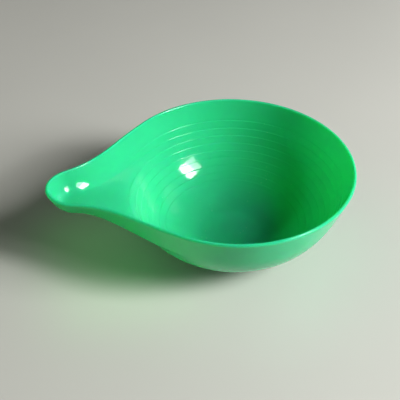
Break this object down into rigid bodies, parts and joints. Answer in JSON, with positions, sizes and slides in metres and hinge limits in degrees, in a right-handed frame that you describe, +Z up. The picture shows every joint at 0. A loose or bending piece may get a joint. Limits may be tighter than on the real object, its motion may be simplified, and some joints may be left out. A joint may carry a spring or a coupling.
{
  "type": "hair colour mixing bowl",
  "caption": "Round salon mixing bowl for hair colour, moulded in one thin shell that runs out into an open trough handle, with fine measuring ledges inside.",
  "frame": {"origin": "middle of the flat base, on the bowl's axis", "axes": "+Z up along the bowl's axis, the trough handle runs along -X, the part is symmetric about the XZ plane"},
  "size_m": [0.1785, 0.14, 0.0535],
  "materials": {
    "green_plastic": "glossy translucent polypropylene"
  },
  "bodies": {
    "root": {"mixing_bowl": "green_plastic"}
  },
  "joints": []
}
